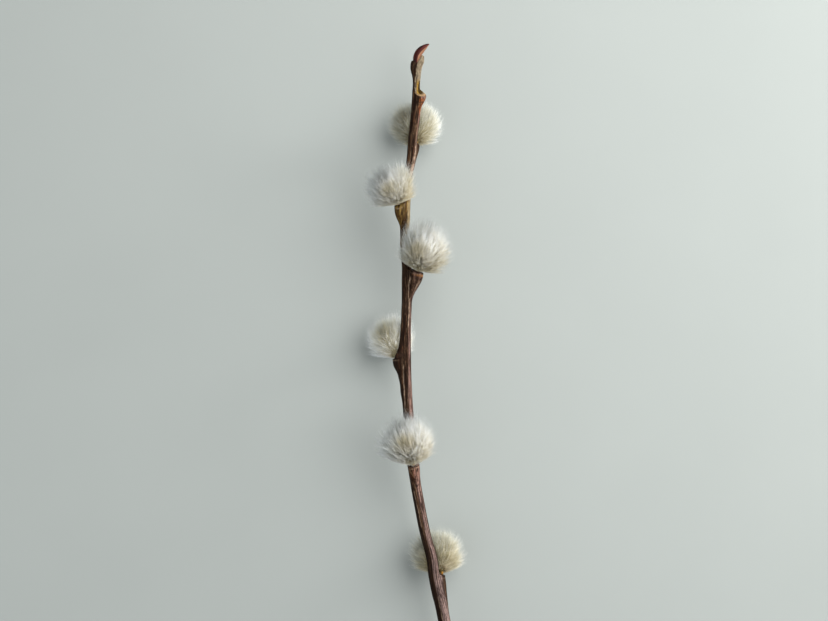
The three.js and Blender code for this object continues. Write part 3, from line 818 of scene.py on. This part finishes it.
def makeHairMaterial():
    look = hairLook
    material, tree, output = newMaterial("silky_hair")
    place = nodeOf(tree, "ShaderNodeUVMap", uv_map="OFBake").outputs[0]
    side, reach, _ = nodeOf(tree, "ShaderNodeSeparateXYZ", {0: place}).outputs

    def ramp(name):
        node = nodeOf(tree, "ShaderNodeValToRGB", {"Fac": reach})
        while len(node.color_ramp.elements) < len(look[name]):
            node.color_ramp.elements.new(0.5)
        for element, (position, color) in zip(node.color_ramp.elements, look[name]):
            element.position = position
            element.color = rgba(color)
        return node.outputs["Color"]

    # painted shade and light: shaded colours where the map's warmth is low, lit ones above it, and the painted
    # sunny glow where it is high
    color = mixColor(tree, ranged(tree, side, 0.03, 0.26), ramp("shade"), ramp("light"))
    color = mixColor(tree, ranged(tree, side, 0.15, 0.85, kind="SMOOTHSTEP"), color, ramp("sunny"))
    row = nodeOf(tree, "ShaderNodeCombineXYZ", {0: mathOf(tree, "MULTIPLY", side, 260.0),
                 1: mathOf(tree, "MULTIPLY", reach, 3.0)}).outputs[0]
    tint = nodeOf(tree, "ShaderNodeTexNoise", {"Vector": row, "Scale": 1.0, "Detail": 2}).outputs["Fac"]
    color = mixColor(tree, 1.0, color, ranged(tree, tint, 0.3, 0.7, 0.66, 1.22), "MULTIPLY")
    color = mixColor(tree, mathOf(tree, "GREATER_THAN", side, look["coreMap"]), color, ramp("bracts"))
    shader = nodeOf(tree, "ShaderNodeBsdfPrincipled", {"Base Color": color, "Roughness": look["roughness"],
                    "Specular IOR Level": 0.35})
    through = nodeOf(tree, "ShaderNodeBsdfTranslucent", {"Color": color})
    mixed = nodeOf(tree, "ShaderNodeMixShader", {0: look["see"], 1: shader.outputs[0], 2: through.outputs[0]})
    tree.links.new(mixed.outputs[0], output.inputs[0])
    return material


def catkinReach(spec, distance, angle):
    # from the ball's middle to its skin, or behind it to the straight taper down to the stalk
    side, ahead = np.sin(angle), np.cos(angle)
    touchAhead = -spec["back"]**2 / distance
    touchSide = spec["across"] * math.sqrt(1 - (touchAhead / spec["back"])**2)
    ball = 1 / np.hypot(side / spec["across"], ahead / np.where(ahead > 0, spec["top"], spec["back"]))
    line = distance / np.maximum(side * (touchAhead + distance) / touchSide - ahead, 1e-6)
    return np.where(angle < math.atan2(touchSide, touchAhead), ball, line)


def catkinBase(cushion):
    # where the stalk leaves the ledge of its cushion
    centre, forward, right, up, radius = (v[0] for v in stemAt(np.array([cushion["y"]])))
    turn = math.radians(cushion["turn"])
    out = radius + cushion["height"] * 0.5
    return centre + out * (right * math.cos(turn) + up * math.sin(turn)) \
        + forward * (0.2 - cushion["height"] * 0.5 * cushion["lip"])


def keepOffStem(points, clear):
    # moves points that are inside the bark out to its skin
    centre, forward, right, up, radius = stemAt(points[:, 1])
    away = points - centre
    away = away - forward * np.sum(away * forward, axis=1, keepdims=True)
    gap = np.linalg.norm(away, axis=1)
    turn = np.degrees(np.arctan2(np.sum(away * up, axis=1), np.sum(away * right, axis=1)))
    out, _ = barkForm(points[:, 1], turn)
    need = np.maximum(out + clear - gap, 0) * (gap < out + clear)
    return points + unit(away) * need[:, None]


def spiralDirections(count, shift):
    # directions spread evenly over a ball
    i = np.arange(count) + 0.5
    height = 1 - 2 * i / count
    ring = np.sqrt(1 - height**2)
    turn = i * goldenTurn + shift
    return np.stack([ring * np.cos(turn), ring * np.sin(turn), height], axis=1)


def nearest(directions, targets):
    # number of the target that each direction is closest to, worked out a batch at a time
    best, batch = np.empty(len(directions), int), 8000
    for start in range(0, len(directions), batch):
        part = directions[start:start + batch].astype(np.float32)
        best[start:start + batch] = np.argmax(part @ targets.T.astype(np.float32), axis=1)
    return best


def liftHair(line, base, axis, above, skirt, ragged, rng):
    # the hair rises from its stalk, and stays off the leaf cushion, the stem and the table
    ahead = unit(axis * [1, 1, 0])
    clear, (low, more) = hairLook["clear"], hairLook["above"]
    for i in (1, 2):
        offset = line[i] - base
        aside = offset[:, 0] * ahead[1] - offset[:, 1] * ahead[0]
        gap = offset @ ahead - np.where(aside < 0, *skirt) * np.abs(aside) * ragged - 0.6
        p = line[i] + ahead * np.where(gap < 0, np.exp(np.minimum(gap, 0)) - 1 - gap, 0)[:, None]
        p = keepOffStem(p, clear)
        stemCentre, _, _, _, radius = stemAt(p[:, 1])
        limit = (np.abs(p[:, 0] - stemCentre[:, 0]) - radius * 1.1) * 0.9
        if above:
            p[:, 2] = np.maximum(p[:, 2], stemCentre[:, 2] - limit)
        else:
            p[:, 2] = np.minimum(p[:, 2], stemCentre[:, 2] + limit)
        p = keepOffStem(p, clear)
        p[:, 2] = np.maximum(p[:, 2], low + more * rng.random(len(p)) * (i == 1))
        line[i] = p


def hairRibbons(line, width, twist, middle):
    # a flat ribbon of three triangles with a pointed end for each hair, lying along the ball
    look, count = hairLook, len(width)
    points, normals = np.empty((count, 5, 3)), np.empty((count, 5, 3))
    for i, (p, wide) in enumerate(zip(line, (0.75, 1.0, 0.0))):
        forward = unit(line[min(i + 1, 2)] - line[max(i - 1, 0)])
        outward = p - middle
        flat = unit(np.cross(forward, outward))
        edge = flat * np.cos(twist) + np.cross(flat, forward) * np.sin(twist)
        edge = edge * (width * wide / 2)[:, None]
        facing = np.cross(edge, forward)
        facing = unit(facing) * np.where(np.sum(facing * outward, axis=1) < 0, -1, 1)[:, None]
        soft = unit(outward) * look["softShade"] + facing * (1 - look["softShade"])
        corners = slice(2 * i, 2 * i + 2)          # two at the root and at the bend, one at the tip
        points[:, corners] = np.stack([p - edge, p + edge], axis=1)[:, :5 - 2 * i]
        normals[:, corners] = unit(soft + [0, 0, look["lift"]])[:, None]
    start = 5 * np.arange(count)[:, None]
    return points, normals, np.concatenate([start + [0, 1, 3], start + [0, 3, 2], start + [2, 3, 4]])


def makeCatkin(name, material, seed):
    look, spec, own = hairLook, catkins[name], catkinLook[name]
    rng = np.random.default_rng(seed)
    base = catkinBase(cushions[spec["ledge"]])
    centre = np.array(spec["centre"])
    axis = centre - base
    distance = np.linalg.norm(axis)
    axis = axis / distance
    sideways = unit(np.cross(axis, [0.2, 0.3, 1.0]))
    upward = np.cross(axis, sideways)
    toWorld = np.stack([sideways, upward, axis])
    total = distance + spec["top"]
    coreLength = look["coreShare"] * total

    def sideOf(turn):
        return [math.cos(math.radians(turn)), math.sin(math.radians(turn)), 0]

    def tipPlace(directions, share):
        angle = np.arccos(np.clip(directions[:, 2], -1, 1))
        share = share * (1 + look["flare"] * fade(angle, 1.65, 2.2))
        for turn, more, narrow in own["longer"]:
            share = share * (1 + more * fade(directions @ toWorld @ sideOf(turn), narrow, 0.98))
        return centre + (directions * (catkinReach(spec, distance, angle) * share)[:, None]) @ toWorld

    def coreOut(level):
        return look["coreRadius"] * np.sin(np.pi * np.clip(level / coreLength * 0.94 + 0.05, 0, 1))**0.6

    def hairLines(directions, share):
        # root, bend and tip of each hair: roots sit on the core, lower along it than the tips
        tips = tipPlace(directions, share)
        offset = tips - base
        level = np.clip(offset @ axis, 0.05, total)
        radial = offset - (offset @ axis)[:, None] * axis
        bow = look["bow"] * np.minimum(np.linalg.norm(radial, axis=1) / spec["across"], 1)
        radial = unit(radial + rng.normal(0, look["rootWander"], radial.shape))
        rootLevel = coreLength * (0.11 + 0.80 * (level / total)**0.9) * rng.uniform(0.7, 1.0, len(tips))
        roots = base + axis * rootLevel[:, None] + radial * (coreOut(rootLevel) * 0.9)[:, None]
        span = tips - roots
        length = np.linalg.norm(span, axis=1)[:, None]
        middles = roots + span * look["bend"] + radial * length * bow[:, None]
        middles = middles + rng.normal(0, look["bendWander"], span.shape) * length
        return np.stack([roots, middles, tips])

    def density(directions):
        dense = np.ones(len(directions))
        for *place, width, share in own["thin"]:
            toward = toWorld @ unit(np.array(place))
            gap = np.degrees(np.arccos(np.clip(directions @ toward, -1, 1)))
            dense = dense * (1 - share * bell(gap, width))
        return dense

    def scattered(count, shift, lean):
        return unit(spiralDirections(count, shift) + rng.normal(0, lean, (count, 3)))

    # most hairs bunch into wisps, some of them longer than others, and the rest are loose
    low, high = look["length"]
    wisps = scattered(look["wisps"], 0.0, look["wispLean"])
    wisps = wisps[wisps[:, 2] > look["bald"]]
    tufts = scattered(look["tufts"], 1.9, 0.06)
    wispShare = low + (high - low) * rng.beta(*look["wispUneven"], len(wisps))
    wispShare = wispShare * (1.03 - look["tuftUneven"] * rng.random(look["tufts"]))[nearest(wisps, tufts)]
    wispLines = hairLines(wisps, wispShare)
    loose = scattered(int(look["count"] * look["loose"]), 0.7, 0.03)
    loose = loose[loose[:, 2] > look["bald"]]
    loose = loose[rng.random(len(loose)) < density(loose)]
    looseLines = hairLines(loose, rng.uniform(low, look["looseReach"], len(loose)))
    dense = density(wisps)
    ofWisp = rng.choice(len(wisps), look["count"] - len(loose), p=dense / dense.sum())
    bunched = wispLines[:, ofWisp]
    longer = rng.uniform(*look["wispEnds"], len(ofWisp))[:, None]
    bunched[2] = bunched[1] + (bunched[2] - bunched[1]) * longer
    for i, spread in enumerate(look["spread"]):
        bunched[i] += rng.normal(0, spread, bunched[i].shape)
    line = list(np.concatenate([bunched, looseLines], axis=1))
    count = look["count"]

    def perHair(draw):
        # one draw for all the hairs of a wisp, and one for each loose hair
        return np.concatenate([draw(len(wisps))[ofWisp], draw(len(loose))])

    ragged = perHair(lambda number: rng.uniform(*look["ragged"], number))
    liftHair(line, base, axis, centre[2] > base[2], own["skirt"], ragged, rng)
    width = rng.uniform(*look["width"], count)
    twist = np.radians(rng.normal(0, look["twist"], count))[:, None]
    points, normals, faces = hairRibbons(line, width, twist, centre - axis * distance * 0.35)

    # across the map goes warmth, partly a painted glow near the stalk on the side toward the light, and up the map
    # goes root to tip
    wispTips = np.concatenate([wispLines[2][ofWisp], looseLines[2]])
    nearBase = np.exp(-np.linalg.norm(wispTips - base, axis=1) / (0.50 * total))
    ownWarmth = perHair(lambda number: rng.normal(0, look["ownWarmth"], number))
    turn, more, pale, warm = own["toneAndPaintedLight"]
    toward = unit(wispTips - centre)
    # painted glow: warmer toward the light
    sunny = np.clip(0.70 + 0.60 * (toward @ look["sun"]), 0.15, 1.25)
    bare = 1 - density(toward @ toWorld.T)
    warmthAndSunGlow = (1.80 * nearBase * sunny + look["thinWarm"] * bare) * warm + ownWarmth
    warmthAndSunGlow = np.clip(warmthAndSunGlow, 0.01, 0.99) * 0.88 + 0.01
    # painted light and shade: paler toward one side and darker on the other, with a paleness of the whole catkin
    # and darker where hair is thin
    paler = toward @ sideOf(turn) * more + pale - look["thinDark"] * bare
    uv = np.empty((count, 5, 2))
    uv[..., 0] = warmthAndSunGlow[:, None] + 0.0012 * np.array([-1, 1, -1, 1, 0])
    for i, (p, share) in enumerate(zip(line, (0.0, look["bend"], 1.0))):
        paleness = 0.64 * share + 0.15 * np.linalg.norm(p - base, axis=1) / total + 0.185 + paler
        uv[:, 2 * i:2 * i + 2, 1] = np.clip(paleness, 0.004, 0.996)[:, None]

    # core with its bracts
    rings, sides = 44, 40
    t, turn = np.meshgrid(np.linspace(0, 1, rings), 2 * np.pi * np.arange(sides) / sides, indexing="ij")
    bracts = np.abs(np.sin(8 * turn + 26 * t)) * np.abs(np.sin(5 * turn - 34 * t))
    out = coreOut(coreLength * t) * (0.86 + 0.2 * bracts * fade(t, 0.08, 0.2)) * fade(1 - t, 0, 0.02)
    out = np.minimum(out, own["stalk"] + 9 * np.maximum(t - 0.05, 0))
    outward = sideways * np.cos(turn)[..., None] - upward * np.sin(turn)[..., None]
    core = base + axis * (coreLength * t)[..., None] + outward * out[..., None]
    coreFaces = halves(ringFaces(rings, sides)) + count * 5
    coreUv = np.stack([0.945 + 0.05 * np.abs(turn / np.pi - 1), 0.01 + 0.98 * t], axis=-1)
    if own.get("stalkHidden"):
        coreUv = coreUv * [0.3, 0.2] + [0, 0.38]      # coloured as shaded hair

    def joined(hair, body):
        return np.vstack([hair.reshape(-1, hair.shape[-1]), body.reshape(-1, body.shape[-1])])

    faces = joined(faces, coreFaces)
    piece = makePiece("silky_" + name, joined(points, core), faces, material,
                      uv=joined(uv, coreUv), normals=joined(normals, unit(outward)))
    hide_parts(name)
    print(name + ":", len(faces), "triangles")


hairMaterial = makeHairMaterial()
for number, name in enumerate(catkins):
    makeCatkin(name, hairMaterial, 70 + number)
